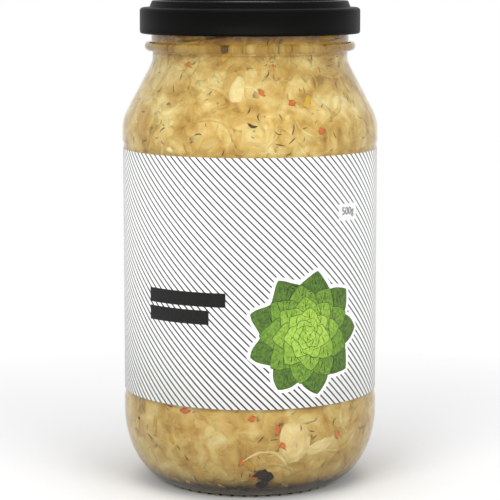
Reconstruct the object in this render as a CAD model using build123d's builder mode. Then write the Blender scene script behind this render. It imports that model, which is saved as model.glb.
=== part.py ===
"""Glass jar of sauerkraut with a twist-off metal lid and a wrap-round paper label.

Millimetres, +Z up, origin at the centre of the ring that the jar stands on.
The label's printed face looks along -Y and its paper ends meet at the back, along +Y.
"""
import os
from math import cos, degrees, radians, sin, tan

from build123d import *

# ---------------------------------------------------------------- driving dimensions
# Glass jar: overall
body_diameter = 77.3
rim_height = 145.7  # base to the sealing rim
finish_diameter = 59.5  # outside of the glass under the lid, without its threads
neck_depth = 0.32  # how far the neck below the transfer bead lies inside the finish

# Glass jar: walls
body_wall = 2.3
shoulder_wall = 2.5
finish_wall = 2.95
base_thickness = 3.3  # at the floor's edge and at its middle

# Glass jar: base and heel
bearing_diameter = 47.0  # outside of the ring that the jar stands on
bearing_width = 3.2
push_up = 2.4  # rise of the base inside that ring
heel_height = 22.67
inner_heel_inset = 1.5  # the cavity's floor is this much smaller than the bearing ring

# Glass jar: body, shoulder and neck
contact_band = 3.4  # straight glass kept full width above and below the label panel
panel_depth = 0.32
panel_ramp = 0.8
shoulder_angle = 27.82  # between the shoulder and the jar's axis
shoulder_fillet = 11.93
neck_fillet = 6.05
neck_length = 4.58  # shoulder's upper corner to the middle of the bead
bead_radius = 1.45
bead_stand = 2.05  # how far the bead's edge stands out of the finish

# Glass jar: finish
finish_height = 12.8  # middle of the bead to the sealing rim
rim_outer_round = 1.6
rim_inner_round = 1.0
thread_count = 4
thread_radius = 0.95
thread_offset = 0.1  # the thread's centre line lies this far outside the finish's wall
thread_drop = 7.5  # sealing rim down to the middle of a thread
thread_slope = 7.0
thread_arc = 88.0

# Lid
sheet = 0.22
seal_gap = 0.48  # room that the sealing compound takes on the rim
thread_play = 2.15  # thread to the skirt's inside
lid_step = 2.0  # the raised top above the skirt's ledge
skirt_height = 7.8
step_gap = 0.3  # the step's inside to the glass rim
step_lean = 0.8
ledge_round = 1.1
top_ring_width = 2.2
centre_sink = 0.8
centre_lean = 0.7
press_round = 0.35  # at the step and round the sunk centre
button_radius = 9.5
button_rise = 0.35
button_lean = 0.5
button_round = 0.25
curl_radius = 0.72
lug_arc = 18.0
lug_height = 1.0
lug_lift = 0.35  # above the skirt's lower edge
lug_play = 0.75  # lug's tip to the finish's wall
lug_turn = 20.0  # lug's place along its thread, from the thread's middle

# Label
label_thickness = 0.12
label_glue = 0.05
label_margin_low = 2.2
label_margin_high = 1.4
label_seam = 8.0

# Sauerkraut
fill_gap = 3.7  # sealing rim down to the sauerkraut
kraut_clearance = 0.05

# ---------------------------------------------------------------- sizes worked out from them
body_r = body_diameter / 2
finish_r = finish_diameter / 2
neck_r = finish_r - neck_depth
bore_r = finish_r - finish_wall
bearing_r = bearing_diameter / 2
panel_r = body_r - panel_depth

bead_z = rim_height - finish_height
cone_top = bead_z - neck_length
cone_run = 1 / tan(radians(shoulder_angle))  # shoulder's drop for each millimetre outwards
cone_bottom = cone_top - (body_r - neck_r) * cone_run
shoulder_tangent = shoulder_fillet * tan(radians(shoulder_angle / 2))
panel_low = heel_height + contact_band
panel_high = cone_bottom - shoulder_tangent - contact_band

thread_r = finish_r + thread_offset
thread_z = rim_height - thread_drop

skirt_r = thread_r + thread_radius + thread_play + sheet
lid_top = rim_height + seal_gap + sheet
ledge_z = lid_top - lid_step
skirt_low = ledge_z - skirt_height
step_r = finish_r + step_gap + sheet
top_ring_inner = step_r - step_lean - sheet / 2 - top_ring_width
centre_z = lid_top - centre_sink

label_r = panel_r + label_glue + label_thickness
label_low = panel_low + label_margin_low + panel_ramp
label_high = panel_high - label_margin_high - panel_ramp

os.makedirs("parts", exist_ok=True)


def radial_plane(angle):
    """Plane through the axis: local x points outwards at this angle, local y up."""
    turn = radians(angle)
    return Plane(origin=(0, 0, 0), x_dir=(cos(turn), sin(turn), 0), z_dir=(sin(turn), -cos(turn), 0))


def inside_outline(gap, top):
    """Closed half outline of the jar's hollow, drawn in by gap and cut off at top."""
    wall_r = body_r - body_wall - gap
    mouth_r = bore_r - gap
    floor_r = bearing_r - inner_heel_inset
    floor_z = base_thickness + gap
    slant = (shoulder_wall + gap) / cos(radians(shoulder_angle))
    cone_low = cone_bottom - (wall_r + slant - body_r) * cone_run
    cone_high = cone_top - (mouth_r + slant - neck_r) * cone_run
    TangentArc((0, floor_z + push_up), (floor_r, floor_z), tangent=(1, 0))
    EllipticalCenterArc(
        (floor_r, heel_height), wall_r - floor_r, heel_height - floor_z, start_angle=-90, arc_size=90
    )
    FilletPolyline(
        (wall_r, heel_height),
        (wall_r, cone_low),
        (mouth_r, cone_high),
        (mouth_r, top),
        (0, top),
        radius=(shoulder_fillet - shoulder_wall, neck_fillet + shoulder_wall, 0),
    )
    Line((0, top), (0, floor_z + push_up))


# ---------------------------------------------------------------- glass jar
with BuildPart() as glass_jar:
    with BuildSketch(Plane.XZ):
        with BuildLine():
            TangentArc((0, push_up), (bearing_r - bearing_width, 0), tangent=(1, 0))
            Line((bearing_r - bearing_width, 0), (bearing_r, 0))
            EllipticalCenterArc(
                (bearing_r, heel_height), body_r - bearing_r, heel_height, start_angle=-90, arc_size=90
            )
            Polyline(
                (body_r, heel_height),
                (body_r, panel_low),
                (panel_r, panel_low + panel_ramp),
                (panel_r, panel_high - panel_ramp),
                (body_r, panel_high),
            )
            FilletPolyline(
                (body_r, panel_high),
                (body_r, cone_bottom),
                (neck_r, cone_top),
                (neck_r, bead_z),
                radius=(shoulder_fillet, neck_fillet),
            )
            Line((neck_r, bead_z), (finish_r, bead_z))
            FilletPolyline(
                (finish_r, bead_z),
                (finish_r, rim_height),
                (0, rim_height),
                radius=rim_outer_round,
            )
            Line((0, rim_height), (0, push_up))
        make_face()
    revolve(axis=Axis.Z)

    with BuildSketch(Plane.XZ):
        with Locations((finish_r + bead_stand - bead_radius, bead_z)):
            Circle(bead_radius)
    revolve(axis=Axis.Z)

    # Each thread is an arc in a plane that leans by the thread's slope.
    for number in range(thread_count):
        middle = radians(number * 360 / thread_count)
        lean = radians(thread_slope)
        axis_up = (sin(middle) * sin(lean), -cos(middle) * sin(lean), cos(lean))
        hub = Plane(
            origin=(0, 0, thread_z),
            x_dir=(cos(middle), sin(middle), 0),
            z_dir=axis_up,
        ).rotated((0, 0, -thread_arc / 2))
        section = Plane(origin=hub.origin, x_dir=hub.x_dir, z_dir=-hub.y_dir)
        with BuildSketch(section):
            with Locations((thread_r, 0)):
                Circle(thread_radius)
        revolve(axis=Axis(hub.origin, hub.z_dir), revolution_arc=thread_arc)
        for end in (0, thread_arc):
            tip = hub.rotated((0, 0, end))
            with Locations(tip.origin + tip.x_dir * thread_r):
                Sphere(thread_radius)

    with BuildSketch(Plane.XZ):
        with BuildLine():
            inside_outline(0, rim_height)
        make_face()
    revolve(axis=Axis.Z, mode=Mode.SUBTRACT)

    inner_rim = glass_jar.edges().filter_by(GeomType.CIRCLE).filter_by_position(
        Axis.Z, rim_height, rim_height
    ).sort_by(SortBy.RADIUS)[0]
    fillet(inner_rim, rim_inner_round)
glass_jar.part.label = "glass_jar"
export_step(glass_jar.part, "parts/glass_jar.step")

# ---------------------------------------------------------------- lid
with BuildPart() as lid:
    with BuildSketch(Plane.XZ):
        with BuildLine():
            FilletPolyline(
                (skirt_r - sheet / 2, skirt_low + curl_radius),
                (skirt_r - sheet / 2, ledge_z - sheet / 2),
                (step_r - sheet / 2, ledge_z - sheet / 2),
                (step_r - step_lean - sheet / 2, lid_top - sheet / 2),
                (top_ring_inner, lid_top - sheet / 2),
                (top_ring_inner - centre_lean, centre_z - sheet / 2),
                (button_radius + button_lean, centre_z - sheet / 2),
                (button_radius, centre_z + button_rise - sheet / 2),
                (0, centre_z + button_rise - sheet / 2),
                radius=(ledge_round, *[press_round] * 4, button_round, button_round),
            )
        trace(line_width=sheet)
    revolve(axis=Axis.Z)

    # The skirt's lower edge is rolled inwards into a bead.
    with BuildSketch(Plane.XZ):
        with Locations((skirt_r - curl_radius, skirt_low + curl_radius)):
            Circle(curl_radius)
    revolve(axis=Axis.Z)

    # The rolled edge is pressed in at each lug, which sits under a thread.
    for number in range(thread_count):
        first = number * 360 / thread_count + lug_turn - lug_arc / 2
        with BuildSketch(radial_plane(first)):
            with Locations((finish_r + lug_play, skirt_low + lug_lift)):
                Rectangle(
                    skirt_r - curl_radius - finish_r - lug_play, lug_height, align=(Align.MIN, Align.MIN)
                )
        revolve(axis=Axis.Z, revolution_arc=lug_arc)
lid.part.label = "lid"
export_step(lid.part, "parts/lid.step")

# ---------------------------------------------------------------- label
with BuildPart() as label:
    seam_turn = degrees(label_seam / label_r)
    with BuildSketch(radial_plane(90 + seam_turn / 2)):
        with Locations((label_r, label_low)):
            Rectangle(label_thickness, label_high - label_low, align=(Align.MAX, Align.MIN))
    revolve(axis=Axis.Z, revolution_arc=360 - seam_turn)
label.part.label = "label"
export_step(label.part, "parts/label.step")

# ---------------------------------------------------------------- sauerkraut, up to its level
with BuildPart() as sauerkraut:
    with BuildSketch(Plane.XZ):
        with BuildLine():
            inside_outline(kraut_clearance, rim_height - fill_gap)
        make_face()
    revolve(axis=Axis.Z)
sauerkraut.part.label = "sauerkraut"
export_step(sauerkraut.part, "parts/sauerkraut.step")

print(f"lid top {lid_top:.2f} mm, skirt radius {skirt_r:.2f} mm from z {skirt_low:.2f} mm")
print(f"label z {label_low:.2f} to {label_high:.2f} mm, radius {label_r:.2f} mm")
print(f"contents {sauerkraut.part.volume / 1000:.0f} ml, glass {glass_jar.part.volume / 1000:.1f} ml")
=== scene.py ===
# %% [markdown]
# # A glass jar of sauerkraut
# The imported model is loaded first. It is the frame: every piece made here goes where
# its solids are, in metres, with +Z up and the label's printed face towards -Y.

# %% Load the frame
import math
import random

import bpy
import numpy as np
from mathutils import Matrix, Vector, noise


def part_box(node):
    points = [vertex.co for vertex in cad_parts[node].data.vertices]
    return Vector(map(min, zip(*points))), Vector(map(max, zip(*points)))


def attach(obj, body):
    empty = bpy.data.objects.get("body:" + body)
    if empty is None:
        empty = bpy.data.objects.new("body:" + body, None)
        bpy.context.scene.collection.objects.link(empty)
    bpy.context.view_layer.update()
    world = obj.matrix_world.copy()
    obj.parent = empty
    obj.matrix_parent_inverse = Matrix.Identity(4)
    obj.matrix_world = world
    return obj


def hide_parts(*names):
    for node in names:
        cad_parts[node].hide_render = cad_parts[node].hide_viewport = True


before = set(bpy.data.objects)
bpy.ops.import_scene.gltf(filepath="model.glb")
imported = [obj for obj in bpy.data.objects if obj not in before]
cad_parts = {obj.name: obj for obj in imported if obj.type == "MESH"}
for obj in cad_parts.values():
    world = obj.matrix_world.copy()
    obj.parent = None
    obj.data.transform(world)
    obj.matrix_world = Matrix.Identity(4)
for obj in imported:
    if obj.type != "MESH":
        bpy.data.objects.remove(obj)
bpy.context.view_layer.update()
body = "root"
mm = 0.001
print("loaded", sorted(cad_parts))

# %% [markdown]
# ## Sizes
# A blow-moulded food jar is a wall of glass turned about one axis, so its whole shape is
# one half outline. The overall sizes are read from the frame, and the rest are the wall,
# the heel, the shoulder and the bead that the mould gives it.

# %% Sizes in millimetres
glass_low, glass_high = (Vector(c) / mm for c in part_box("glass_jar"))
label_low, label_high = (Vector(c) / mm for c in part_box("label"))
lid_low, lid_high = (Vector(c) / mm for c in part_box("lid"))
kraut_low, kraut_high = (Vector(c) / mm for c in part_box("sauerkraut"))

body_r = glass_high.x
rim_z = glass_high.z
label_r = label_high.x
skirt_r = lid_high.x
finish_r, neck_r, bore_r = 29.75, 29.43, 26.8
body_wall, shoulder_wall, base_thickness = 2.3, 2.5, 3.3
bearing_r, bearing_width, push_up, heel_z = 23.5, 3.2, 2.4, 22.67
floor_r = bearing_r - 1.5
shoulder_angle = math.radians(27.82)
shoulder_fillet, neck_fillet = 11.93, 6.05
bead_z, bead_r, bead_stand = rim_z - 12.8, 1.45, 2.05
cone_high_z = bead_z - 4.58
cone_run = 1 / math.tan(shoulder_angle)
cone_low_z = cone_high_z - (body_r - neck_r) * cone_run
panel_r = body_r - 0.32
panel_low_z, panel_high_z = heel_z + 3.4, cone_low_z - 6.35
print(f"jar {2 * body_r:.1f} mm wide and {rim_z:.1f} mm tall, lid {2 * skirt_r:.1f} mm")


# %% [markdown]
# ## Helpers for outlines and turned pieces
# A corner of a moulded outline is an arc, so `rounded` puts one at each inner point.
# `turned` spins a half outline round the Z axis into a closed mesh: where the outline
# meets the axis it ends in a single point, so that there is no hole and no pinched face.

# %% Outline and lathe helpers
def rounded(points, radii, steps=10):
    """The polyline with each inner corner replaced by an arc of its radius."""
    path = [Vector(points[0])]
    for before, corner, after, radius in zip(points, points[1:], points[2:], radii):
        corner = Vector(corner)
        back, ahead = (Vector(before) - corner).normalized(), (Vector(after) - corner).normalized()
        half = back.angle(ahead) / 2
        centre = corner + (back + ahead).normalized() * radius / math.sin(half)
        start = corner + back * radius / math.tan(half) - centre
        sweep = math.pi - 2 * half
        side = 1 if start.x * ahead.y - start.y * ahead.x > 0 else -1
        for k in range(steps + 1):
            turn = side * sweep * k / steps
            path.append(centre + Vector((start.x * math.cos(turn) - start.y * math.sin(turn),
                                         start.x * math.sin(turn) + start.y * math.cos(turn))))
    return path + [Vector(points[-1])]


def arc(centre, radii, first, last, steps):
    """Points on an elliptical arc, angles in degrees from +x."""
    turns = [math.radians(first + (last - first) * k / steps) for k in range(steps + 1)]
    return [Vector((centre[0] + radii[0] * math.cos(t), centre[1] + radii[1] * math.sin(t))) for t in turns]


def dome(z_middle, z_edge, radius, steps=12):
    """A shallow dome from the axis out to radius, level at its middle."""
    return [Vector((radius * k / steps, z_middle + (z_edge - z_middle) * (k / steps) ** 2))
            for k in range(steps + 1)]


def evenly(path, step):
    """The path with its long stretches divided into pieces no longer than step."""
    out = [path[0]]
    for a, b in zip(path, path[1:]):
        count = max(1, math.ceil((b - a).length / step))
        out += [a.lerp(b, k / count) for k in range(1, count + 1)]
    return out


def new_object(name, verts, faces, smooth=True):
    """A mesh object from points in metres, shaded smooth."""
    mesh = bpy.data.meshes.new(name)
    mesh.from_pydata([tuple(v) for v in verts], [], faces)
    mesh.polygons.foreach_set("use_smooth", [smooth] * len(mesh.polygons))
    mesh.update()
    obj = bpy.data.objects.new(name, mesh)
    bpy.context.scene.collection.objects.link(obj)
    return obj


def turned(name, outline, turns=256, shift=None):
    """The outline (r, z in mm) spun round Z. An outline that doesn't end on the axis closes on itself.
    shift(point, angle) may move a point of one meridian, as a thread does."""
    solid = outline[0].x < 1e-6
    verts, faces, rows = [], [], []
    for k, p in enumerate(outline):
        if p.x < 1e-6:
            rows.append([len(verts)] * turns)
            verts.append((0, 0, p.y * mm))
            continue
        rows.append(list(range(len(verts), len(verts) + turns)))
        for n in range(turns):
            angle = 2 * math.pi * n / turns
            q = shift(p, angle) if shift else p
            verts.append((q.x * math.cos(angle) * mm, q.x * math.sin(angle) * mm, q.y * mm))
    pairs = list(zip(rows, rows[1:])) + ([] if solid else [(rows[-1], rows[0])])
    for low, high in pairs:
        for n in range(turns):
            m = (n + 1) % turns
            ring = [low[n], low[m], high[m], high[n]]
            faces.append([v for k, v in enumerate(ring) if v != ring[k - 1]])
    return new_object(name, verts, faces)


# %% [markdown]
# ## Materials
# `linear` turns a written sRGB colour into the linear values that the shader wants, and
# `add` is the one function that puts a node in a tree.

# %% Material helpers
def linear(hex_colour, alpha=1.0):
    """An sRGB hex colour as linear RGBA."""
    parts = [int(hex_colour[k:k + 2], 16) / 255 for k in (1, 3, 5)]
    return [c / 12.92 if c <= 0.04045 else ((c + 0.055) / 1.055) ** 2.4 for c in parts] + [alpha]


def add(tree, kind, inputs=None, **settings):
    """Adds a node, sets its own settings, then fills or links its inputs."""
    made = tree.nodes.new(kind)
    for key, value in settings.items():
        setattr(made, key, value)
    for key, value in (inputs or {}).items():
        if isinstance(value, bpy.types.NodeSocket):
            tree.links.new(value, made.inputs[key])
        else:
            made.inputs[key].default_value = value
    return made


def new_material(name):
    """A material with an empty tree, and its output node."""
    mat = bpy.data.materials.new(name)
    mat.use_nodes = True
    mat.node_tree.nodes.clear()
    return mat, mat.node_tree, mat.node_tree.nodes.new("ShaderNodeOutputMaterial")


# %% [markdown]
# ### Soda-lime glass
# Container glass is clear with a faint green-grey cast that shows where it is thick, in
# the base and at the edges. Its colour by height also carries painted shade: the base is
# darkened past its real cast, a painted dark line runs under the bead, and the finish under
# the lid is darkened with painted shade. Lamps and soft light have to reach what the glass
# holds, so the shader lets shadow and diffuse rays straight through and bends only what is seen.

# %% Soda-lime container glass, fire polished
glass_mat, tree, out = new_material("soda_lime_glass")
where = add(tree, "ShaderNodeTexCoord")
parts = add(tree, "ShaderNodeSeparateXYZ", {0: where.outputs["Object"]})
cords = add(tree, "ShaderNodeTexNoise", {"Vector": where.outputs["Object"], "Scale": 1 / (4 * mm), "Detail": 3.0, "Distortion": 2.0})
sway = add(tree, "ShaderNodeMath", {0: cords.outputs[0], 1: 1.2 * mm, 2: parts.outputs[2]}, operation="MULTIPLY_ADD")
share = add(tree, "ShaderNodeMapRange", {"Value": sway.outputs[0], "From Max": rim_z * mm})
cast = add(tree, "ShaderNodeValToRGB", {0: share.outputs[0]})
# Colour by height: the faint real cast of thick glass, with painted shade deepening the base, a painted dark line under
# the bead and painted shade on the finish under the lid.
glass_cast_and_painted_shade = [(0.0, "#8A7F4C"), (1.6, "#9A8E54"), (3.0, "#5A4E22"), (4.6, "#74693A"), (5.6, "#FBFDF9"),
               (bead_z - 2.0, "#FBFDF9"), (bead_z - 1.35, "#A89E78"), (bead_z - 0.7, "#F6F2E2"), (bead_z + 1.6, "#F3EDD6"),
               (bead_z + 2.4, "#D6C28C"), (rim_z, "#D6C28C")]
stops = cast.color_ramp.elements
while len(stops) < len(glass_cast_and_painted_shade):
    stops.new(1.0)
for stop, (height, colour) in zip(stops, glass_cast_and_painted_shade):
    stop.position, stop.color = height / rim_z, linear(colour)
glass = add(tree, "ShaderNodeBsdfPrincipled", {
    "Base Color": cast.outputs[0], "Roughness": 0.02, "IOR": 1.5, "Transmission Weight": 1.0,
})
rays = add(tree, "ShaderNodeLightPath")
clear = add(tree, "ShaderNodeBsdfTransparent", {"Color": cast.outputs[0]})
lit = add(tree, "ShaderNodeMixShader", {0: rays.outputs["Is Diffuse Ray"], 1: glass.outputs[0], 2: clear.outputs[0]})
seen = add(tree, "ShaderNodeMixShader", {0: rays.outputs["Is Shadow Ray"], 1: lit.outputs[0], 2: clear.outputs[0]})
soak = add(tree, "ShaderNodeVolumeAbsorption", {"Color": linear("#C4C49C"), "Density": 75.0})
tree.links.new(seen.outputs[0], out.inputs["Surface"])
tree.links.new(soak.outputs[0], out.inputs["Volume"])
print("material", glass_mat.name)

# %% [markdown]
# ### Lacquered tinplate
# The lid is thin steel sheet rolled with a black lacquer: an even, satin, slightly
# orange-peeled skin, so a fine bump breaks the reflections up a little.

# %% Black stoving lacquer on tinplate
lid_mat, tree, out = new_material("black_lacquered_tinplate")
where = add(tree, "ShaderNodeTexCoord")
peel_mm = 0.9
peel = add(tree, "ShaderNodeTexNoise", {"Vector": where.outputs["Object"], "Scale": 1 / (peel_mm * mm), "Detail": 2.0})
cast = add(tree, "ShaderNodeTexNoise", {"Vector": where.outputs["Object"], "Scale": 1 / (14 * mm), "Detail": 3.0})
rough = add(tree, "ShaderNodeMapRange", {"Value": cast.outputs[0], "To Min": 0.38, "To Max": 0.5})
tone = add(tree, "ShaderNodeMix", {0: cast.outputs[0], 6: linear("#060605"), 7: linear("#0A0A09")}, data_type="RGBA")
bump = add(tree, "ShaderNodeBump", {"Height": peel.outputs[0], "Strength": 0.25, "Distance": 0.02 * mm})
lacquer = add(tree, "ShaderNodeBsdfPrincipled", {
    "Base Color": tone.outputs[2], "Roughness": rough.outputs[0], "Normal": bump.outputs[0],
    "IOR": 1.5, "Specular IOR Level": 0.05,
})
tree.links.new(lacquer.outputs[0], out.inputs["Surface"])
print("material", lid_mat.name)

# %% [markdown]
# ### Coated label paper with a printed hatch
# The paper is bright white with a soft clay coat. Its print is a run of thin black lines
# that slope down to the right, worked out from the label's own UV map: u runs round the
# jar and v up it, both in metres, so the lines keep their width and spacing round the jar.

# %% Coated paper, printed in thin black lines
hatch_pitch_mm, hatch_line_mm = 2.15, 0.62
paper_mat, tree, out = new_material("coated_label_paper")
uv = add(tree, "ShaderNodeUVMap", uv_map="paper")
uv_parts = add(tree, "ShaderNodeSeparateXYZ", {0: uv.outputs[0]})
along = add(tree, "ShaderNodeMath", {0: uv_parts.outputs[0], 1: uv_parts.outputs[1]}, operation="ADD")
cycles = add(tree, "ShaderNodeMath", {0: along.outputs[0], 1: 1 / (hatch_pitch_mm * mm)}, operation="MULTIPLY")
phase = add(tree, "ShaderNodeMath", {0: cycles.outputs[0]}, operation="FRACT")
line = add(tree, "ShaderNodeMath", {0: phase.outputs[0], 1: hatch_line_mm / hatch_pitch_mm}, operation="LESS_THAN")
where = add(tree, "ShaderNodeTexCoord")
fibre = add(tree, "ShaderNodeTexNoise", {"Vector": where.outputs["Object"], "Scale": 1 / (1.2 * mm), "Detail": 4.0})
sheet_tone = add(tree, "ShaderNodeMix", {0: fibre.outputs[0], 6: linear("#F4F4F3"), 7: linear("#FBFBFA")}, data_type="RGBA")
print_tone = add(tree, "ShaderNodeMix", {0: line.outputs[0], 6: sheet_tone.outputs[2], 7: linear("#121110")}, data_type="RGBA")
bump = add(tree, "ShaderNodeBump", {"Height": fibre.outputs[0], "Strength": 0.2, "Distance": 0.01 * mm})
paper = add(tree, "ShaderNodeBsdfPrincipled", {
    "Base Color": print_tone.outputs[2], "Roughness": 0.55, "Normal": bump.outputs[0], "Specular IOR Level": 0.3,
})
tree.links.new(paper.outputs[0], out.inputs["Surface"])
print("material", paper_mat.name)


# %% [markdown]
# ### Printing ink and plain paper
# The bars, the weight, the leaves and the bare paper round them are one kind of finish:
# offset ink or bare coat, with a faint mottle where the ink lies thinner.

# %% Offset printing ink
def ink(name, dark, light, grain_mm=1.0):
    """Offset ink between two colours, mottled at the grain's size."""
    mat, tree, out = new_material(name)
    where = add(tree, "ShaderNodeTexCoord")
    mottle = add(tree, "ShaderNodeTexNoise", {"Vector": where.outputs["Object"], "Scale": 1 / (grain_mm * mm), "Detail": 4.0})
    spread = add(tree, "ShaderNodeMapRange", {"Value": mottle.outputs[0], "From Min": 0.35, "From Max": 0.65})
    tone = add(tree, "ShaderNodeMix", {0: spread.outputs[0], 6: linear(dark), 7: linear(light)}, data_type="RGBA")
    skin = add(tree, "ShaderNodeBsdfPrincipled", {"Base Color": tone.outputs[2], "Roughness": 0.5, "Specular IOR Level": 0.3})
    tree.links.new(skin.outputs[0], out.inputs["Surface"])
    return mat


black_ink = ink("black_offset_ink", "#0C0C0B", "#151513")
bare_paper = ink("bare_coated_paper", "#F4F4F3", "#FBFBFA")
print("materials", black_ink.name, bare_paper.name)

# %% [markdown]
# ### Fermented cabbage
# Sauerkraut is translucent: pale straw at the surface, gold-brown where brine stands
# between the shreds. Each shred carries a random "tint", set when it is scattered, so
# neighbours differ, and a little light scatters inside it.


# %% Fermented cabbage and brine
def kraut(name, colours, patch_mm, scatter_mm, grain_mm=0.8, tint_share=0.2, shaded=None, base_shade_share=0.4, soft=0.8):
    """Translucent vegetable, from dark to light through these colours. shaded, if given, is what it
    darkens to in its lowest millimetres and under the lid, where little light comes in.
    base_shade_share is how far a painted shade darkens it towards the base, soft how much light scatters in it."""
    mat, tree, out = new_material(name)
    where = add(tree, "ShaderNodeTexCoord")
    patch = add(tree, "ShaderNodeTexNoise", {
        "Vector": where.outputs["Object"], "Scale": 1 / (patch_mm * mm), "Detail": 6.0, "Roughness": 0.6, "Distortion": 0.6,
    })
    tint = add(tree, "ShaderNodeAttribute", attribute_name="tint")
    level = add(tree, "ShaderNodeMix", {0: tint_share, 2: patch.outputs[0], 3: tint.outputs["Fac"]}, data_type="FLOAT")
    ramp = add(tree, "ShaderNodeValToRGB", {0: level.outputs[0]})
    stops = ramp.color_ramp.elements
    while len(stops) < len(colours):
        stops.new(0.5)
    for stop, (place, colour) in zip(stops, colours):
        stop.position = place
        stop.color = linear(colour)
    height = add(tree, "ShaderNodeSeparateXYZ", {0: where.outputs["Object"]}).outputs[2]
    # Painted shade: the colour darkens towards the base, where the high lamps give less light.
    painted_base_shade = add(tree, "ShaderNodeMapRange", {"Value": height, "From Min": 40 * mm, "From Max": 8 * mm, "To Max": base_shade_share})
    colour = add(tree, "ShaderNodeMix", {0: painted_base_shade.outputs[0], 6: ramp.outputs[0], 7: linear("#8A6A34")}, data_type="RGBA").outputs[2]
    # Painted shade: the lowest millimetres and the band under the lid darken to the shaded colour.
    if shaded:
        low = add(tree, "ShaderNodeMapRange", {"Value": height, "From Min": 4.6 * mm, "From Max": 6.4 * mm})
        high = add(tree, "ShaderNodeMapRange", {"Value": height, "From Min": 137.2 * mm, "From Max": 135.0 * mm})
        outside_painted_shade = add(tree, "ShaderNodeMath", {0: low.outputs[0], 1: high.outputs[0]}, operation="MINIMUM")
        colour = add(tree, "ShaderNodeMix", {0: outside_painted_shade.outputs[0], 6: linear(shaded), 7: colour}, data_type="RGBA").outputs[2]
    strand = add(tree, "ShaderNodeTexNoise", {"Vector": where.outputs["Object"], "Scale": 1 / (3.5 * mm), "Detail": 2.0, "Distortion": 2.5})
    off_line = add(tree, "ShaderNodeMath", {0: strand.outputs[0], 1: 0.5}, operation="SUBTRACT")
    line = add(tree, "ShaderNodeMath", {0: off_line.outputs[0]}, operation="ABSOLUTE")
    rib = add(tree, "ShaderNodeMapRange", {"Value": line.outputs[0], "From Min": 0.0, "From Max": 0.05, "To Min": 1.0, "To Max": 0.0})
    grain = add(tree, "ShaderNodeTexNoise", {"Vector": where.outputs["Object"], "Scale": 1 / (grain_mm * mm), "Detail": 3.0})
    relief = add(tree, "ShaderNodeMath", {0: rib.outputs[0], 1: 0.6, 2: grain.outputs[0]}, operation="MULTIPLY_ADD")
    bump = add(tree, "ShaderNodeBump", {"Height": relief.outputs[0], "Strength": 0.3, "Distance": 0.14 * mm})
    flesh = add(tree, "ShaderNodeBsdfPrincipled", {
        "Base Color": colour, "Roughness": 0.45, "Normal": bump.outputs[0], "IOR": 1.38, "Specular IOR Level": 0.15,
        "Subsurface Weight": soft, "Subsurface Scale": scatter_mm * mm, "Subsurface Radius": (1.0, 0.9, 0.75),
    })
    tree.links.new(flesh.outputs[0], out.inputs["Surface"])
    return mat


straw = [(0.28, "#8A6422"), (0.38, "#BA9140"), (0.50, "#D2AE63"), (0.60, "#E0C583"), (0.72, "#EDDAA6")]
core_mat = kraut("brine_packed_cabbage", straw, 7, 0.6, tint_share=0.0, shaded="#8E6420")
shred_mat = kraut("fermented_cabbage_shred", straw, 7, 0.2, tint_share=0.16, soft=0.5)
leaf_mat = kraut("fermented_cabbage_leaf", straw, 7, 0.2, tint_share=0.1, soft=0.5)
heart_mat = kraut("cabbage_heart", [(0.3, "#D6BA7C"), (0.5, "#E4CE99"), (0.7, "#EFDFB4")], 4, 0.3, base_shade_share=0.15)
dill_mat = kraut("brined_dill", [(0.3, "#33240A"), (0.5, "#54400F"), (0.7, "#74591A")], 1, 0.1, base_shade_share=0.0, soft=0.0)
carrot_mat = kraut("fermented_carrot", [(0.3, "#BE5A1E"), (0.5, "#CE702C"), (0.7, "#D88644")], 1, 0.15, base_shade_share=0.1, soft=0.15)
gold_mat = kraut("golden_cabbage_rib", [(0.2, "#BE9422"), (0.5, "#D0A836"), (0.8, "#DDBB58")], 2, 0.2)
cream_mat = kraut("pale_cabbage_core", [(0.3, "#E2C98E"), (0.5, "#EBD7A2"), (0.7, "#F2E3B8")], 2, 0.2)
caraway_mat = kraut("caraway_seed", [(0.3, "#3B2A12"), (0.5, "#5E4520"), (0.7, "#7C6032")], 1, 0.1, base_shade_share=0.0, soft=0.0)
juniper_mat = kraut("juniper_berry_skin", [(0.3, "#140802"), (0.5, "#231004"), (0.7, "#341A08")], 1, 0.1, base_shade_share=0.0, soft=0.0)
print("materials for the filling made")

# %% [markdown]
# ## The glass
# The outline starts at the middle of the raised base, goes out over the ring that the jar
# stands on, up the outside, over the rim, and down the inside to the floor. The threads
# are pushed out of the finish while it is turned, so glass and threads are one skin.


# %% Glass outline, threads and mesh
def cavity(gap, top):
    """The hollow's half outline from the floor's middle up to top, drawn in by gap (mm)."""
    wall_r, mouth_r, floor_z = body_r - body_wall - gap, bore_r - gap, base_thickness + gap
    slant = (shoulder_wall + gap) / math.cos(shoulder_angle)
    low = cone_low_z - (wall_r + slant - body_r) * cone_run
    high = cone_high_z - (mouth_r + slant - neck_r) * cone_run
    path = dome(floor_z + push_up, floor_z, floor_r)
    path += arc((floor_r, heel_z), (wall_r - floor_r, heel_z - floor_z), -90, 0, 28)[1:]
    return path + rounded([(wall_r, heel_z), (wall_r, low), (mouth_r, high), (mouth_r, top)],
                          (shoulder_fillet - shoulder_wall, neck_fillet + shoulder_wall))[1:]


thread_count, thread_drop, thread_slope, thread_half = 4, 7.5, math.radians(7.0), math.radians(47)
thread_out = 1.05


def threads(point, angle):
    """Pushes the finish's outer wall out along four slanting ridges that fade at their ends."""
    if point.x < finish_r - 0.4 or not bead_z + 1 < point.y < rim_z - 1:
        return point
    pitch = 2 * math.pi / thread_count
    place = (angle + pitch / 2) % pitch - pitch / 2
    push = 0.0
    for turn in (place - pitch, place, place + pitch):
        across = point.y - (rim_z - thread_drop + finish_r * math.sin(turn) * math.tan(thread_slope))
        fade = min(1.0, max(0.0, (thread_half - abs(turn)) / 0.12))
        push = max(push, thread_out * fade * math.sqrt(max(0.0, 1 - (across / 1.05) ** 2)))
    return Vector((point.x + push, point.y))


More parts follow.
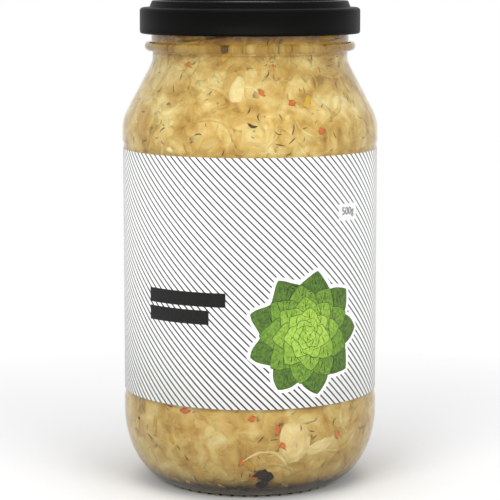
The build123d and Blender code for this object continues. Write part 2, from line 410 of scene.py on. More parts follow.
bead_centre = finish_r + bead_stand - bead_r
bead_foot = math.degrees(math.acos((neck_r - bead_centre) / bead_r))
bead_top = math.degrees(math.acos((finish_r - bead_centre) / bead_r))
outside = dome(push_up, 0, bearing_r - bearing_width)
outside += arc((bearing_r, heel_z), (body_r - bearing_r, heel_z), -90, 0, 36)
outside += rounded([(body_r, heel_z), (body_r, panel_low_z), (panel_r, panel_low_z + 0.8),
                    (panel_r, panel_high_z - 0.8), (body_r, panel_high_z), (body_r, cone_low_z),
                    (neck_r, cone_high_z), (neck_r, bead_z - 1.2)],
                   (1, 1, 1, 1, shoulder_fillet, neck_fillet))[1:]
outside += arc((bead_centre, bead_z), (bead_r, bead_r), -bead_foot, bead_top, 18)
finish = rounded([(finish_r, bead_z + 1.6), (finish_r, rim_z), (bore_r, rim_z), (bore_r, rim_z - 3)], (1.6, 1.0))
outside += evenly(finish, 0.2)
outline = outside + list(reversed(cavity(0, rim_z - 3.5)))
jar = turned("jar_glass", outline, 288, threads)
jar.data.materials.append(glass_mat)
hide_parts("glass_jar")
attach(jar, body)
print("glass", len(jar.data.polygons), "faces")

# %% [markdown]
# ## The knurled base
# The mould leaves a ring of small bumps where the jar stands, so that hot glass doesn't
# lie on its whole base. One bump is repeated round a circle: Geometry Nodes places it on
# the points of a curve, and the result is realized into a plain mesh.


# %% Geometry Nodes helpers
def new_modifier_tree(name, inputs):
    """A Geometry Nodes tree with named inputs after its geometry, and its two end nodes."""
    tree = bpy.data.node_groups.new(name, "GeometryNodeTree")
    tree.interface.new_socket("Geometry", in_out="INPUT", socket_type="NodeSocketGeometry")
    tree.interface.new_socket("Geometry", in_out="OUTPUT", socket_type="NodeSocketGeometry")
    for label, kind in inputs.items():
        tree.interface.new_socket(label, in_out="INPUT", socket_type=kind)
    return tree, tree.nodes.new("NodeGroupInput"), tree.nodes.new("NodeGroupOutput")


def grown(name, base, tree, values):
    """A plain mesh object from base with this tree on it; base is removed."""
    modifier = base.modifiers.new(tree.name, "NODES")
    modifier.node_group = tree
    for item in tree.interface.items_tree:
        if item.in_out == "INPUT" and item.name in values:
            modifier[item.identifier] = values[item.name]
    shape = base.evaluated_get(bpy.context.evaluated_depsgraph_get())
    mesh = bpy.data.meshes.new_from_object(shape)
    mesh.name = name
    bpy.data.objects.remove(base)
    obj = bpy.data.objects.new(name, mesh)
    bpy.context.scene.collection.objects.link(obj)
    mesh.polygons.foreach_set("use_smooth", [True] * len(mesh.polygons))
    return obj


# %% Ring of bumps under the heel
ring_tree, given, result = new_modifier_tree("bump_ring", {
    "Ring Radius": "NodeSocketFloat", "Height": "NodeSocketFloat", "Count": "NodeSocketInt",
    "Bump Radius": "NodeSocketFloat", "Material": "NodeSocketMaterial",
})
circle = add(ring_tree, "GeometryNodeCurvePrimitiveCircle", {"Resolution": given.outputs["Count"], "Radius": given.outputs["Ring Radius"]})
lift = add(ring_tree, "ShaderNodeCombineXYZ", {2: given.outputs["Height"]})
raised = add(ring_tree, "GeometryNodeTransform", {"Geometry": circle.outputs[0], "Translation": lift.outputs[0]})
bump_points = add(ring_tree, "GeometryNodeCurveToPoints", {"Curve": raised.outputs[0]}, mode="EVALUATED")
ball = add(ring_tree, "GeometryNodeMeshIcoSphere", {"Radius": given.outputs["Bump Radius"], "Subdivisions": 3})
set_on = add(ring_tree, "GeometryNodeInstanceOnPoints", {"Points": bump_points.outputs[0], "Instance": ball.outputs[0]})
real = add(ring_tree, "GeometryNodeRealizeInstances", {0: set_on.outputs[0]})
named = add(ring_tree, "GeometryNodeSetMaterial", {"Geometry": real.outputs[0], "Material": given.outputs["Material"]})
ring_tree.links.new(named.outputs[0], result.inputs[0])
bump_ring = grown("base_knurling", new_object("ring_base", [(0, 0, 0)], []), ring_tree, {
    "Ring Radius": 26.2 * mm, "Height": 0.8 * mm, "Count": 46, "Bump Radius": 0.78 * mm, "Material": glass_mat,
})
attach(bump_ring, body)
print("knurling", len(bump_ring.data.polygons), "faces")

# %% [markdown]
# ## The filling's core
# Brine fills every gap between the shreds, so no air shows behind the glass. The core is
# turned from the hollow's outline, reaches just into the wall, and has the low folds and
# hollows of pressed cabbage pushed out of it. The noise that shapes them has a fixed seed,
# because without one it would start from the clock and differ on each run.


# %% Core with pressed folds
fold_seed = 3
noise.seed_set(fold_seed)


def folds(point, angle):
    """Pushes the core's skin out into the wall by the folds of pressed cabbage."""
    spot = Vector((math.cos(angle) * point.x, math.sin(angle) * point.x, point.y * 1.25))
    swirl = noise.noise_vector(spot / 9) * 3
    low = noise.fractal((spot + swirl) / 5, 1.0, 2.0, 4)
    ridge = 1 - abs(noise.noise((spot + swirl * 2) / 3.4)) * 2
    out = 0.35 + 0.3 * low + 0.25 * ridge
    reach = min(1.0, point.x / floor_r)
    return Vector((point.x + max(0.06, out) * reach, point.y))


core_path = evenly(cavity(0, kraut_high.z), 0.9) + [Vector((bore_r * 0.98, kraut_high.z + 0.6)), Vector((0, kraut_high.z + 1.2))]
core = turned("sauerkraut_core", core_path, 420, folds)
core.data.materials.append(core_mat)
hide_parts("sauerkraut")
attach(core, body)
print("core", len(core.data.polygons), "faces")

# %% [markdown]
# ## Shreds, leaves, dill and spices
# They are scattered by one Geometry Nodes tree on a flat sheet: x runs round the jar, y
# up its inner wall, and z is the height over it. The realized mesh is then wrapped onto
# the wall, so that a long shred bends with the glass and none pokes through it. The sheet
# covers only what shows: above the label, below it, and the strip at the label's seam.

# %% Scatter tree
scatter_tree, given, result = new_modifier_tree("scatter", {
    "Pieces": "NodeSocketCollection", "Kinds": "NodeSocketInt", "Density": "NodeSocketFloat", "Seed": "NodeSocketInt",
    "Size Low": "NodeSocketFloat", "Size High": "NodeSocketFloat", "Lift Low": "NodeSocketFloat",
    "Lift High": "NodeSocketFloat", "Lean": "NodeSocketFloat", "Turn": "NodeSocketFloat", "Material": "NodeSocketMaterial",
})
spread = add(scatter_tree, "GeometryNodeDistributePointsOnFaces", {0: given.outputs["Geometry"], "Density": given.outputs["Density"], "Seed": given.outputs["Seed"]})
turn_low = add(scatter_tree, "ShaderNodeMath", {0: given.outputs["Turn"], 1: -1.0}, operation="MULTIPLY")
lean_low = add(scatter_tree, "ShaderNodeMath", {0: given.outputs["Lean"], 1: -1.0}, operation="MULTIPLY")
low_turns = add(scatter_tree, "ShaderNodeCombineXYZ", {0: lean_low.outputs[0], 1: lean_low.outputs[0], 2: turn_low.outputs[0]})
high_turns = add(scatter_tree, "ShaderNodeCombineXYZ", {0: given.outputs["Lean"], 1: given.outputs["Lean"], 2: given.outputs["Turn"]})
turns = add(scatter_tree, "FunctionNodeRandomValue", {0: low_turns.outputs[0], 1: high_turns.outputs[0], "Seed": given.outputs["Seed"]}, data_type="FLOAT_VECTOR")
sizes = add(scatter_tree, "FunctionNodeRandomValue", {2: given.outputs["Size Low"], 3: given.outputs["Size High"], "Seed": given.outputs["Seed"]}, data_type="FLOAT")
lifts = add(scatter_tree, "FunctionNodeRandomValue", {2: given.outputs["Lift Low"], 3: given.outputs["Lift High"], "Seed": 7}, data_type="FLOAT")
up = add(scatter_tree, "ShaderNodeCombineXYZ", {2: lifts.outputs[1]})
raised = add(scatter_tree, "GeometryNodeSetPosition", {"Geometry": spread.outputs[0], "Offset": up.outputs[0]})
shapes = add(scatter_tree, "GeometryNodeCollectionInfo", {"Collection": given.outputs["Pieces"], "Separate Children": True, "Reset Children": True})
last_kind = add(scatter_tree, "ShaderNodeMath", {0: given.outputs["Kinds"], 1: 1.0}, operation="SUBTRACT")
which = add(scatter_tree, "FunctionNodeRandomValue", {4: 0, 5: last_kind.outputs[0], "Seed": 3}, data_type="INT")
placed = add(scatter_tree, "GeometryNodeInstanceOnPoints", {
    "Points": raised.outputs[0], "Instance": shapes.outputs[0], "Pick Instance": True,
    "Instance Index": which.outputs[2], "Rotation": turns.outputs[0], "Scale": sizes.outputs[1],
})
tints = add(scatter_tree, "FunctionNodeRandomValue", {2: 0.0, 3: 1.0, "Seed": 11}, data_type="FLOAT")
tinted = add(scatter_tree, "GeometryNodeStoreNamedAttribute", {"Geometry": placed.outputs[0], "Name": "tint", "Value": tints.outputs[1]}, data_type="FLOAT", domain="INSTANCE")
real = add(scatter_tree, "GeometryNodeRealizeInstances", {0: tinted.outputs[0]})
named = add(scatter_tree, "GeometryNodeSetMaterial", {"Geometry": real.outputs[0], "Material": given.outputs["Material"]})
scatter_tree.links.new(named.outputs[0], result.inputs[0])
print("scatter tree has", len(scatter_tree.nodes), "nodes")

# %% The inner wall unrolled, and wrapping onto it
wall_path = evenly(cavity(0, kraut_high.z), 0.5)
wall_r = np.array([p.x for p in wall_path])
wall_z = np.array([p.y for p in wall_path])
wall_s = np.concatenate([[0], np.cumsum(np.hypot(np.diff(wall_r), np.diff(wall_z)))])
unroll_r = body_r - body_wall


def up_wall(z):
    """Distance along the inner wall, in mm, from the floor's middle to this height."""
    beyond_floor = len(dome(0, 0, 1)) + 2
    return float(np.interp(z, wall_z[beyond_floor:], wall_s[beyond_floor:]))


def wrap(obj):
    """Bends a mesh made on the flat sheet (metres) onto the jar's inner wall."""
    count = len(obj.data.vertices)
    flat = np.empty(count * 3)
    obj.data.vertices.foreach_get("co", flat)
    x, y, h = flat.reshape(-1, 3).T / mm
    r, z = np.interp(y, wall_s, wall_r), np.interp(y, wall_s, wall_z)
    dr = np.interp(y + 0.4, wall_s, wall_r) - np.interp(y - 0.4, wall_s, wall_r)
    dz = np.interp(y + 0.4, wall_s, wall_z) - np.interp(y - 0.4, wall_s, wall_z)
    size = np.hypot(dr, dz) + 1e-9
    r, z, angle = r + h * dz / size, z - h * dr / size, x / unroll_r
    bent = np.stack([r * np.sin(angle), -r * np.cos(angle), z], axis=1) * mm
    obj.data.vertices.foreach_set("co", bent.ravel())
    obj.data.update()


def sheet(stretches):
    """Flat rectangles (x low, x high, z low, z high) on the unrolled wall, to scatter on."""
    verts, faces = [], []
    for x0, x1, z0, z1 in stretches:
        first = len(verts)
        y0, y1 = up_wall(z0), up_wall(z1)
        verts += [(x * mm, y * mm, 0) for x, y in ((x0, y0), (x1, y0), (x1, y1), (x0, y1))]
        faces.append([first, first + 1, first + 2, first + 3])
    return new_object("sheet", verts, faces)


half_turn = math.pi * unroll_r
seam_half = 6
shown = [(-half_turn, half_turn, label_high.z - 3, kraut_high.z - 1), (-half_turn, half_turn, 3.9, label_low.z + 4),
         (half_turn - seam_half, half_turn, label_low.z, label_high.z),
         (-half_turn, -half_turn + seam_half, label_low.z, label_high.z)]
print(f"inner wall {wall_s[-1]:.0f} mm long from floor to fill level")


# %% [markdown]
# ### The pieces that are scattered
# Each is a small closed body. A shred is a slim strip cut across a cabbage head, a leaf
# is a wavy flake with curled edges, and both have a few dozen faces because they are
# repeated many hundreds of times.

# %% Small shapes
def strip(name, length, width, thick, bend, steps=7, sides=5, seed=0):
    """A tapering strip along x, bent in its plane and waved a little, sizes in mm."""
    rng = random.Random(seed)
    wave, roll = rng.uniform(0.2, 0.5), rng.uniform(0, 6.3)
    verts, faces = [], []
    for k in range(steps + 1):
        t = k / steps - 0.5
        half = 0.5 * (1 - (2 * abs(t)) ** 3 * 0.75)
        mid = Vector((t * length, bend * (4 * t * t - 0.5) * length * 0.25, wave * thick * math.sin(7 * t + roll)))
        for n in range(sides):
            turn = 2 * math.pi * n / sides
            verts.append(mid + Vector((0, half * width * math.cos(turn), half * thick * math.sin(turn))))
    for k in range(steps):
        for n in range(sides):
            m = (n + 1) % sides
            a, b = k * sides, (k + 1) * sides
            faces.append([a + n, b + n, b + m, a + m])
    faces.append(list(range(sides)))
    faces.append(list(reversed(range(steps * sides, (steps + 1) * sides))))
    return new_object(name, [v * mm for v in verts], faces)


def flake(name, length, width, thick, seed, rings=3, sides=12, rim_rise=(-0.5, 0.9)):
    """A wavy-edged flake of leaf, thin at its rim, sizes in mm. rim_rise is how far its rim may
    stand over its middle plane, as a share of its thickness: below zero it dips into the brine."""
    rng = random.Random(seed)
    rim = [1 + rng.uniform(-0.22, 0.22) for _ in range(sides)]
    tilt = [rng.uniform(*rim_rise) for _ in range(sides)]
    verts = [Vector((0, 0, thick * 0.6)), Vector((0, 0, -thick * 0.4))]
    for k in range(1, rings + 1):
        share = k / rings
        for n in range(sides):
            turn = 2 * math.pi * n / sides
            spot = Vector((math.cos(turn) * length / 2, math.sin(turn) * width / 2, 0)) * share * rim[n]
            rise = thick * (0.6 * (1 - share ** 2) + tilt[n] * share ** 2)
            verts.append(spot + Vector((0, 0, rise)))
    top = [[2 + k * sides + n for n in range(sides)] for k in range(rings)]
    low_ring = len(verts)
    for n in range(sides):
        turn = 2 * math.pi * n / sides
        verts.append(Vector((math.cos(turn) * length / 3, math.sin(turn) * width / 3, -thick * 0.4)) * rim[n])
    faces = []
    for n in range(sides):
        m = (n + 1) % sides
        faces.append([0, top[0][n], top[0][m]])
        faces += [[top[k][n], top[k + 1][n], top[k + 1][m], top[k][m]] for k in range(rings - 1)]
        faces.append([top[-1][n], low_ring + n, low_ring + m, top[-1][m]])
        faces.append([1, low_ring + m, low_ring + n])
    return new_object(name, [v * mm for v in verts], faces)


def pebble(name, length, width, thick, taper=0.0, rings=8, sides=18):
    """A smooth seed-like body, its far end narrowed by taper, sizes in mm."""
    verts, faces = [Vector((-length / 2, 0, 0)), Vector((length / 2, 0, 0))], []
    for k in range(1, rings):
        turn = math.pi * k / rings
        narrow = math.sin(turn) * (1 - taper * k / rings)
        for n in range(sides):
            side = 2 * math.pi * n / sides
            verts.append(Vector((-math.cos(turn) * length, narrow * math.cos(side) * width, narrow * math.sin(side) * thick)) / 2)
    for k in range(rings):
        for n in range(sides):
            m = (n + 1) % sides
            low, high = 2 + (k - 1) * sides, 2 + k * sides
            if k == 0:
                faces.append([0, high + n, high + m])
            elif k == rings - 1:
                faces.append([1, low + m, low + n])
            else:
                faces.append([low + n, high + n, high + m, low + m])
    return new_object(name, [v * mm for v in verts], faces)


def folded_leaf(name, length, width, thick, folds, rings=36, sides=60):
    """A thick rolled leaf seen end on: an oval dome whose folds lie closer on one side."""
    def height(share, turn):
        crest = math.cos(2 * math.pi * folds * share + 0.8 * math.sin(2 * turn))
        return thick * (1 - share ** 2.5) * (0.86 + 0.14 * crest) - 0.5 * thick * share ** 6

    verts, faces = [Vector((0, 0, height(0, 0)))], []
    for k in range(1, rings + 1):
        share = k / rings
        off = 0.28 * (1 - share)
        for n in range(sides):
            turn = 2 * math.pi * n / sides
            wobble = 1 + 0.05 * math.sin(3 * turn + 1) + 0.03 * math.sin(5 * turn)
            verts.append(Vector(((math.cos(turn) * share * wobble - off) * length / 2,
                                 math.sin(turn) * share * wobble * width / 2, height(share, turn))))
    for n in range(sides):
        m = (n + 1) % sides
        faces.append([0, 1 + n, 1 + m])
        for k in range(rings - 1):
            low, high = 1 + k * sides, 1 + (k + 1) * sides
            faces.append([low + n, high + n, high + m, low + m])
    faces.append([1 + (rings - 1) * sides + n for n in reversed(range(sides))])
    return new_object(name, [v * mm for v in verts], faces)


def scattered(name, shapes, density, seed, sizes, lifts, material, lean=0.05, turn=math.pi, where=None):
    """One piece: these shapes strewn on the shown wall at density per square cm, then wrapped."""
    kinds = bpy.data.collections.new(name + "_kinds")
    bpy.context.scene.collection.children.link(kinds)
    for shape in shapes:
        bpy.context.scene.collection.objects.unlink(shape)
        kinds.objects.link(shape)
    piece = grown(name, sheet(where or shown), scatter_tree, {
        "Pieces": kinds, "Kinds": len(shapes), "Density": density * 1e4, "Seed": seed,
        "Size Low": sizes[0], "Size High": sizes[1], "Lift Low": lifts[0] * mm, "Lift High": lifts[1] * mm,
        "Lean": lean, "Turn": turn, "Material": material,
    })
    for shape in shapes:
        bpy.data.objects.remove(shape)
    bpy.data.collections.remove(kinds)
    wrap(piece)
    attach(piece, body)
    print(name, len(piece.data.polygons), "faces")
    return piece


# %% Cabbage leaves and shreds
scattered("cabbage_leaves", [flake(f"leaf_{k}", 12 + 2 * (k % 3), 7 + (k % 2), 0.4, k, rim_rise=(-2.2, -0.2))
                             for k in range(6)], 2.0, 2, (0.5, 1.25), (0.3, 0.65), leaf_mat, lean=0.02)
scattered("cabbage_shreds", [strip(f"shred_{k}", 12 + 2 * k, 1.1 + 0.35 * (k % 3), 0.4, (-1.2, 0.8, 0.2, -0.5, 1.6)[k], steps=9, sides=8, seed=k)
                             for k in range(5)], 3.0, 5, (0.45, 1.1), (0.1, 0.55), shred_mat, lean=0.015)

# %% Dill, caraway, carrot and golden ribs
scattered("dill_flecks", [strip(f"fleck_{k}", 2.2 + 0.5 * k, 0.34, 0.26, (0.3, -0.8, 0.0)[k], steps=4, sides=4, seed=20 + k)
                          for k in range(3)], 2.4, 9, (0.4, 1.0), (0.85, 0.95), dill_mat, lean=0.02)
scattered("carrot_bits", [flake(f"carrot_{k}", 3.0, 1.8, 0.9, 40 + k) for k in range(3)],
          0.10, 12, (0.5, 1.1), (0.5, 0.7), carrot_mat)
scattered("golden_ribs", [flake(f"rib_{k}", 6.0, 2.6, 0.8, 50 + k) for k in range(3)],
          0.12, 15, (0.5, 1.0), (0.4, 0.6), gold_mat)
scattered("caraway_seeds", [strip(f"seed_{k}", 4.2, 1.1, 0.9, 0.6, steps=6, sides=6, seed=60 + k) for k in range(2)],
          0.04, 24, (0.7, 0.95), (0.5, 0.7), caraway_mat)
scattered("cream_chunks", [pebble(f"chunk_{k}", 8.0 - k, 3.0, 1.1, 0.2 * k, rings=6, sides=10) for k in range(3)],
          0.10, 31, (0.4, 0.9), (0.1, 0.35), heart_mat)

# %% [markdown]
# ### Pieces that stand out
# A few larger things lie against the glass: a thick cream rib, a rolled heart leaf with its
# folds, an arched strand, a split juniper berry. Each is laid at a given place on the
# unrolled wall, x millimetres round from the front and z up, and all of a kind are one mesh.

# %% Laying chosen pieces
def laid(name, material, places):
    """One piece from places: (shape, x, z, turn in degrees, lift), sizes in mm; wrapped on the wall."""
    verts, faces = [], []
    for shape, x, z, turn, lift in places:
        first = len(verts)
        set_down = Matrix.Translation((x * mm, up_wall(z) * mm, lift * mm)) @ Matrix.Rotation(math.radians(turn), 4, "Z")
        verts += [set_down @ v.co for v in shape.data.vertices]
        faces += [[first + v for v in p.vertices] for p in shape.data.polygons]
    for shape in {place[0] for place in places}:
        bpy.data.objects.remove(shape)
    piece = new_object(name, verts, faces)
    piece.data.materials.append(material)
    wrap(piece)
    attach(piece, body)
    print(name, len(piece.data.polygons), "faces")


laid("cream_rib", cream_mat, [(folded_leaf("rib", 9.6, 6.0, 0.9, 0.7), -4.2, 120.8, 78, 0.5)])
laid("heart_leaf", heart_mat, [(folded_leaf("heart", 16.5, 11.5, 0.9, 2.2), 13.2, 19.4, 98, 0.3),
                               (folded_leaf("heart_low", 14.0, 5.4, 0.7, 1.6), 22.0, 17.0, 20, 0.3)])
laid("arched_strand", heart_mat, [(strip("arch", 15, 1.3, 0.8, -1.3, steps=24, sides=10, seed=97), 5.5, 14.0, -14, 0.45)])
laid("carrot_chips", carrot_mat, [
    (flake(f"chip_{k}", length, 1.9, 0.6, 100 + k), x, z, turn, 0.5)
    for k, (length, x, z, turn) in enumerate([(2.9, 13.1, 117.0, 20), (2.7, 21.3, 109.3, 25), (3.2, 7.8, 22.8, 80),
                                             (2.6, 0.3, 26.3, 15), (2.6, -2.6, 13.1, 60), (3.4, -19.4, 27.5, 10)])])
laid("golden_chips", gold_mat, [
    (pebble("gold_a", 4.2, 2.2, 1.2, 0.4), -24.3, 18.7, 110, 0.45), (pebble("gold_b", 5.5, 2.2, 0.9, 0.3), -30.7, 22.1, 95, 0.3)])
laid("juniper_berry", juniper_mat, [
    (flake("half_a", 7.8, 4.8, 1.3, 108), 4.5, 9.2, 158, 0.55), (pebble("half_b", 4.4, 3.2, 1.4), 4.0, 6.3, 5, 0.5),
    (pebble("crumb", 1.3, 1.0, 0.8), -38.7, 22.3, 0, 0.6)])

# %% [markdown]
# ## The lid
# A twist-off lid is pressed from one disc of tinplate: a skirt with its lower edge rolled
# in, a ledge, a step up to the raised top, and a slightly sunk middle with a low button.

# %% Lid outline and mesh
tin = 0.22
ledge_z, step_r = lid_high.z - 2.0, finish_r + 0.3 + tin
top_in, centre_z = step_r - 0.8 - tin / 2 - 2.2, lid_high.z - 0.8
curl_r = 0.72
curl_z = lid_low.z + curl_r


def lid_line(inset, foot):
    """The lid's skin from the button out to the skirt's foot, drawn in by inset."""
    corners = [(0, centre_z + 0.35 - inset), (9.5, centre_z + 0.35 - inset), (10.0, centre_z - inset),
               (top_in - 0.7, centre_z - inset), (top_in, lid_high.z - inset),
               (step_r - 0.8 - inset, lid_high.z - inset), (step_r - inset, ledge_z - inset),
               (skirt_r - inset, ledge_z - inset), (skirt_r - inset, foot)]
    return rounded(corners, (0.25, 0.25, 0.35, 0.35, 0.4, 0.35, 1.1 - inset), 6)


def lugs(point, angle):
    """Presses the rolled edge in at four places, which catch under the threads."""
    if point.x > skirt_r - curl_r or point.y > curl_z + curl_r + 0.1:
        return point
    pitch = math.tau / 4
    away = abs((angle - math.radians(20) + pitch / 2) % pitch - pitch / 2)
    press = min(1.0, max(0.0, (math.radians(10) - away) / math.radians(2)))
    return Vector((point.x - 1.1 * press * (skirt_r - curl_r - point.x) / curl_r, point.y))


curl = arc((skirt_r - curl_r, curl_z), (curl_r, curl_r), 0, -314, 24)
skin = lid_line(0, curl_z) + curl + list(reversed(lid_line(tin, curl_z + 0.52)))
lid = turned("twist_off_lid", list(reversed(skin)), 288, lugs)
lid.data.materials.append(lid_mat)
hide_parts("lid")
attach(lid, body)
print("lid", len(lid.data.polygons), "faces")


# %% [markdown]
# ## The label
# Paper wraps the jar and its ends stop short of each other at the back. The sheet is a
# curved slab with its own UV map in metres, and everything printed on it is made flat and
# then laid round the same curve, a hair above the paper.

# %% Label sheet
seam_half_turn = 4.0 / label_r
paper_thick = 0.12
columns, rows = 220, 2
verts, faces, paper_uv = [], [], []
for r in (label_r, label_r - paper_thick):
    for j in range(rows + 1):
        for i in range(columns + 1):
            turn = (i / columns * 2 - 1) * (math.pi - seam_half_turn)
            z = label_low.z + (label_high.z - label_low.z) * j / rows
            verts.append((r * math.sin(turn) * mm, -r * math.cos(turn) * mm, z * mm))
            paper_uv.append((turn * label_r * mm, z * mm))
face_grid = [[k * (rows + 1) * (columns + 1) + j * (columns + 1) + i for j in range(rows + 1) for i in range(columns + 1)]
             for k in (0, 1)]
at = lambda side, i, j: face_grid[side][j * (columns + 1) + i]
for i in range(columns):
    for j in range(rows):
        faces.append([at(0, i, j), at(0, i + 1, j), at(0, i + 1, j + 1), at(0, i, j + 1)])
        faces.append([at(1, i, j + 1), at(1, i + 1, j + 1), at(1, i + 1, j), at(1, i, j)])
    faces.append([at(1, i, 0), at(1, i + 1, 0), at(0, i + 1, 0), at(0, i, 0)])
    faces.append([at(0, i, rows), at(0, i + 1, rows), at(1, i + 1, rows), at(1, i, rows)])
for j in range(rows):
    faces.append([at(0, 0, j), at(0, 0, j + 1), at(1, 0, j + 1), at(1, 0, j)])
    faces.append([at(0, columns, j + 1), at(0, columns, j), at(1, columns, j), at(1, columns, j + 1)])
label = new_object("paper_label", verts, faces, smooth=False)
layer = label.data.uv_layers.new(name="paper")
for loop in label.data.loops:
    layer.data[loop.index].uv = paper_uv[loop.vertex_index]
label.data.polygons.foreach_set("use_smooth", [abs(p.normal.z) < 0.5 for p in label.data.polygons])
label.data.materials.append(paper_mat)
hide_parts("label")
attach(label, body)
print("label", len(label.data.polygons), "faces")


# %% Laying print on the label
def printed(name, material, polygons):
    """Flat shapes laid on the paper: each is (lift over the paper, [(x, z), ...]) in mm, with x
    measured round the jar from the front."""
    verts, faces = [], []
    for lift, points in polygons:
        first = len(verts)
        for x, z in points:
            turn, r = x / label_r, label_r + lift
            verts.append((r * math.sin(turn) * mm, -r * math.cos(turn) * mm, z * mm))
        faces.append(list(range(first, len(verts))))
    piece = new_object(name, verts, faces)
    piece.data.materials.append(material)
    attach(piece, body)
    print(name, len(faces), "faces")
    return piece


def bar(left, right, low, high, lift=0.03, step=1.5):
    """A rectangle cut into narrow columns, so that it bends with the jar."""
    count = math.ceil((right - left) / step)
    cuts = [left + (right - left) * k / count for k in range(count + 1)]
    return [(lift, [(a, low), (b, low), (b, high), (a, high)]) for a, b in zip(cuts, cuts[1:])]


printed("label_bars", black_ink, bar(-33.2, -7.1, 59.0, 63.2) + bar(-33.2, -12.15, 53.75, 57.95))

# %% [markdown]
# ### Net weight
# The weight is plain text. A text object is turned into a mesh, laid flat on the
# unrolled label, and bent onto it point by point.

# %% Net weight in small print
words = bpy.data.curves.new("weight", "FONT")
words.body = "500g"
words.size, words.offset = 1.0, 0.008
text = bpy.data.objects.new("weight", words)
bpy.context.scene.collection.objects.link(text)
flat = bpy.data.meshes.new_from_object(text.evaluated_get(bpy.context.evaluated_depsgraph_get()))
bpy.data.objects.remove(text)
xs = [v.co.x for v in flat.vertices]
ys = [v.co.y for v in flat.vertices]
text_left, text_right, text_low, text_high = 29.6, 34.9, 84.0, 87.0
for v in flat.vertices:
    x = text_left + (v.co.x - min(xs)) / (max(xs) - min(xs)) * (text_right - text_left)
    z = text_low + (v.co.y - min(ys)) / (max(ys) - min(ys)) * (text_high - text_low)
    turn, r = x / label_r, label_r + 0.09
    v.co = (r * math.sin(turn) * mm, -r * math.cos(turn) * mm, z * mm)
weight = bpy.data.objects.new("net_weight", flat)
bpy.context.scene.collection.objects.link(weight)
weight.data.materials.append(black_ink)
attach(weight, body)
printed("net_weight_ground", bare_paper, bar(text_left - 1.2, text_right + 1.2, text_low - 0.9, text_high + 0.9, 0.02))
print("net weight printed")

# %% [markdown]
# ### A rosette of leaves
# The picture on the label is a plain rosette: rings of pointed leaves round a small
# middle, each ring lighter and smaller than the one under it. Every leaf comes from one
# formula, with a midrib and side veins drawn in a darker green.

# %% Leaf rosette
art_x, art_z, art_r = 17.4, 50.9, 18.4
greens = [ink("leaf_ink_deep", "#3C5825", "#5A7A2E", 0.9), ink("leaf_ink_mid", "#54752B", "#759A39", 0.9),
          ink("leaf_ink_fresh", "#6C9032", "#8EB144", 0.9), ink("leaf_ink_lime", "#86AB3E", "#A4C652", 0.9)]
line_ink = ink("leaf_line_ink", "#1E2C10", "#2C3C18", 0.9)


def half_width(t, spread, waves, phase):
    """Half the width of a leaf at t, from its foot (0) to its tip (1), with a wavy edge."""
    return spread * math.sin(math.pi * t ** 0.8) ** 0.75 * (1 + 0.08 * math.sin(waves * math.pi * t + phase))


def leaf(lift, turn, reach, spread, waves, phase, across=8, along=20):
    """The small quads of one leaf, turned about the rosette's middle."""
    def spot(t, w):
        width = half_width(t, spread, waves, phase) * w
        a = t * reach
        return (art_x + a * math.cos(turn) - width * math.sin(turn), art_z + a * math.sin(turn) + width * math.cos(turn))

    quads = []
    for i in range(along):
        for j in range(across):
            t0, t1 = i / along, (i + 1) / along
            w0, w1 = 2 * j / across - 1, 2 * (j + 1) / across - 1
            quads.append((lift, [spot(t0, w0), spot(t1, w0), spot(t1, w1), spot(t0, w1)]))
    return quads


def veins(lift, turn, reach, spread):
    """The midrib and side veins of one leaf, as thin tapering strokes."""
    def stroke(a0, w0, a1, w1, start, end):
        run = Vector((a1 - a0, w1 - w0))
        side = Vector((-run.y, run.x)).normalized()
        corners = [(a0 + side.x * start, w0 + side.y * start), (a0 - side.x * start, w0 - side.y * start),
                   (a1 - side.x * end, w1 - side.y * end), (a1 + side.x * end, w1 + side.y * end)]
        return (lift, [(art_x + a * math.cos(turn) - w * math.sin(turn), art_z + a * math.sin(turn) + w * math.cos(turn))
                       for a, w in corners])

    count = round(reach / 2.3)
    strokes = [stroke(0.2 * reach, 0, 0.95 * reach, 0, 0.2, 0.04)]
    for k in range(count):
        foot = (0.26 + 0.62 * k / count) * reach
        tip = foot + 0.14 * reach
        width = half_width(min(0.98, tip / reach), spread, 0, 0) * 0.82
        for side in (1, -1):
            strokes.append(stroke(foot, 0, tip, side * width, 0.12, 0.03))
            strokes.append(stroke(foot + 0.05 * reach, side * width * 0.4, tip + 0.04 * reach, side * width * 0.62, 0.09, 0.02))
    return strokes


ring_sizes = [(9, art_r, 6.6, 0.0), (9, 14.8, 5.4, 0.35), (8, 11.0, 4.4, 0.1), (7, 7.6, 3.4, 0.6), (6, 4.8, 2.4, 0.15), (5, 2.6, 1.5, 0.8)]
leaf_gap = 0.006
printed("rosette_ground", bare_paper,
        [q for k in range(9) for q in leaf(0.012 + 0.002 * k, k * 2 * math.pi / 9, art_r + 1.2, 7.9, 5, k)])
level = 0.035
for tone, (count, reach, spread, offset) in enumerate(ring_sizes):
    lines, fills = [], []
    for k in range(count):
        turn = offset + k * 2 * math.pi / count
        lines += leaf(level, turn, reach + 0.15, spread + 0.15, 5, k)
        fills += leaf(level + leaf_gap / 3, turn, reach, spread, 5, k)
        lines += veins(level + leaf_gap * 2 / 3, turn, reach, spread)
        level += leaf_gap
    printed(f"rosette_lines_{tone}", line_ink, lines)
    printed(f"rosette_leaves_{tone}", greens[min(tone, len(greens) - 1)], fills)
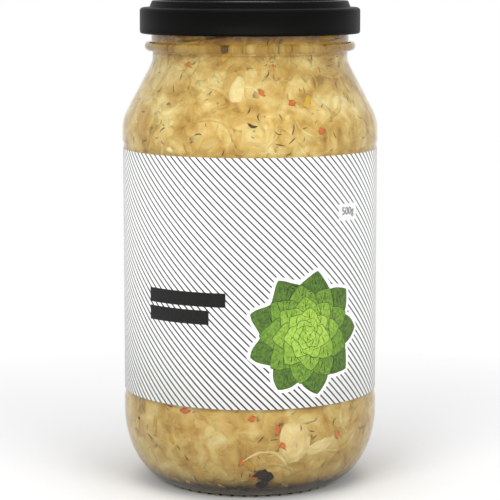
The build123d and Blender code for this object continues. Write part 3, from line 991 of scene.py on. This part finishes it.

# %% [markdown]
# ## Floor, light and camera
# A pale floor fades to plain white away from the jar. The light is a big soft lamp on each
# side and one above, with a plain white surround.

# %% Stage
def stage_floor(name, half, near, far):
    """A matt white floor. Past far metres from the jar the camera sees it as plain white."""
    obj = new_object(name, [(-half, -half, 0), (half, -half, 0), (half, half, 0), (-half, half, 0)], [[0, 1, 2, 3]])
    mat, tree, out = new_material(name + "_paint")
    rays = add(tree, "ShaderNodeLightPath")
    where = add(tree, "ShaderNodeTexCoord")
    away = add(tree, "ShaderNodeVectorMath", {0: where.outputs["Object"]}, operation="LENGTH")
    fade = add(tree, "ShaderNodeMapRange", {"Value": away.outputs["Value"], "From Min": near, "From Max": far})
    straight = add(tree, "ShaderNodeMath", {0: rays.outputs["Is Camera Ray"], 1: rays.outputs["Is Transmission Ray"]}, operation="MAXIMUM")
    looked_at = add(tree, "ShaderNodeMath", {0: straight.outputs[0], 1: rays.outputs["Is Glossy Ray"]}, operation="MAXIMUM")
    share = add(tree, "ShaderNodeMath", {0: fade.outputs[0], 1: looked_at.outputs[0]}, operation="MULTIPLY")
    paint = add(tree, "ShaderNodeBsdfDiffuse", {"Color": linear("#F2F2F2")})
    glow = add(tree, "ShaderNodeEmission", {"Color": (1, 1, 1, 1), "Strength": 1.0})
    mixed = add(tree, "ShaderNodeMixShader", {0: share.outputs[0], 1: paint.outputs[0], 2: glow.outputs[0]})
    tree.links.new(mixed.outputs[0], out.inputs["Surface"])
    obj.data.materials.append(mat)


stage_floor("floor", 4.0, 0.06, 0.22)
world = bpy.data.worlds.new("studio")
bpy.context.scene.world = world
world.use_nodes = True
tree = world.node_tree
tree.nodes.clear()
rays = add(tree, "ShaderNodeLightPath")
straight = add(tree, "ShaderNodeMath", {0: rays.outputs["Is Camera Ray"], 1: rays.outputs["Is Transmission Ray"]}, operation="MAXIMUM")
looked_at = add(tree, "ShaderNodeMath", {0: straight.outputs[0], 1: rays.outputs["Is Glossy Ray"]}, operation="MAXIMUM")
light = add(tree, "ShaderNodeBackground", {"Color": (1, 1, 1, 1), "Strength": 0.48})
white = add(tree, "ShaderNodeBackground", {"Color": (1, 1, 1, 1), "Strength": 1.0})
mixed = add(tree, "ShaderNodeMixShader", {0: looked_at.outputs[0], 1: light.outputs[0], 2: white.outputs[0]})
out = add(tree, "ShaderNodeOutputWorld", {0: mixed.outputs[0]})


def lamp(name, place, aim, size, watts, mirrored=False):
    """A square soft box at place, turned to aim. Only a mirrored one shows in the gloss."""
    data = bpy.data.lights.new(name, "AREA")
    data.shape, data.size, data.energy = "SQUARE", size, watts
    obj = bpy.data.objects.new(name, data)
    obj.location = place
    obj.rotation_euler = (Vector(aim) - Vector(place)).to_track_quat("-Z", "Y").to_euler()
    obj.visible_glossy = mirrored
    bpy.context.scene.collection.objects.link(obj)


middle = (0, 0, 0.075)
lamp("left_box", (-0.45, -0.85, 0.55), middle, 0.5, 5.4)
lamp("right_box", (0.55, -0.75, 0.45), middle, 0.5, 4.0)
lamp("top_box", (0.0, -0.1, 1.0), middle, 0.6, 3.6, mirrored=True)

# %% Camera
eye, pitch, focal = (0.0, -0.6184, 0.15664), math.radians(7.92), 147.0
camera_data = bpy.data.cameras.new("camera")
camera_data.lens, camera_data.sensor_width = focal, 36.0
camera = bpy.data.objects.new("camera", camera_data)
camera.location = eye
camera.rotation_euler = (math.pi / 2 - pitch, 0, 0)
bpy.context.scene.collection.objects.link(camera)
bpy.context.scene.camera = camera
bpy.context.scene.view_settings.view_transform = "Standard"
